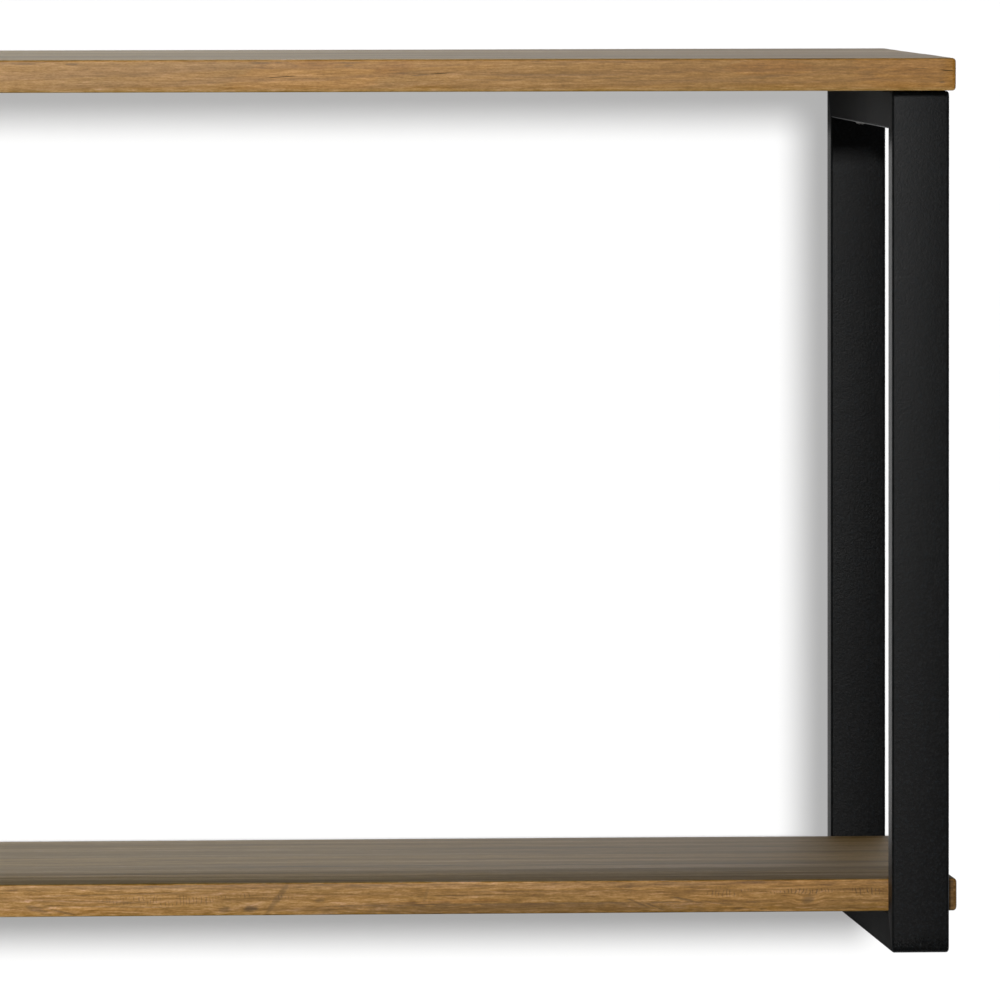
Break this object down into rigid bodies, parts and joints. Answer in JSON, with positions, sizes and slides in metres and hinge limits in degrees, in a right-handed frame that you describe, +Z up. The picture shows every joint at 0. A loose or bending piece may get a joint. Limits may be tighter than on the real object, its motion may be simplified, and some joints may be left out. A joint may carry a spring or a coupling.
{
  "type": "hanging wall shelf",
  "caption": "Hanging wall shelf: wooden boards carried by closed loops of black rectangular steel tube, hung from keyhole slots in the rear posts.",
  "frame": {"origin": "on the wall, midway between the two points where the wall screws carry the keyhole slots", "axes": "+X along the boards, +Y into the wall so that -Y faces the room, +Z up"},
  "size_m": [1.503, 0.35, 0.4706],
  "materials": {
    "pine": "warm brown stain with a matt lacquer",
    "powder_coat": "matt black powder coat with a fine texture",
    "screw_steel": "black oxide"
  },
  "bodies": {
    "root": {"upper_board": "pine", "lower_board": "pine", "left_front_post": "powder_coat", "left_rear_post": "powder_coat", "left_top_bar": "powder_coat", "left_bottom_bar": "powder_coat", "left_upper_rear_screw": "screw_steel", "left_upper_front_screw": "screw_steel", "left_lower_rear_screw": "screw_steel", "left_lower_front_screw": "screw_steel", "right_front_post": "powder_coat", "right_rear_post": "powder_coat", "right_top_bar": "powder_coat", "right_bottom_bar": "powder_coat", "right_upper_rear_screw": "screw_steel", "right_upper_front_screw": "screw_steel", "right_lower_rear_screw": "screw_steel", "right_lower_front_screw": "screw_steel"}
  },
  "joints": []
}
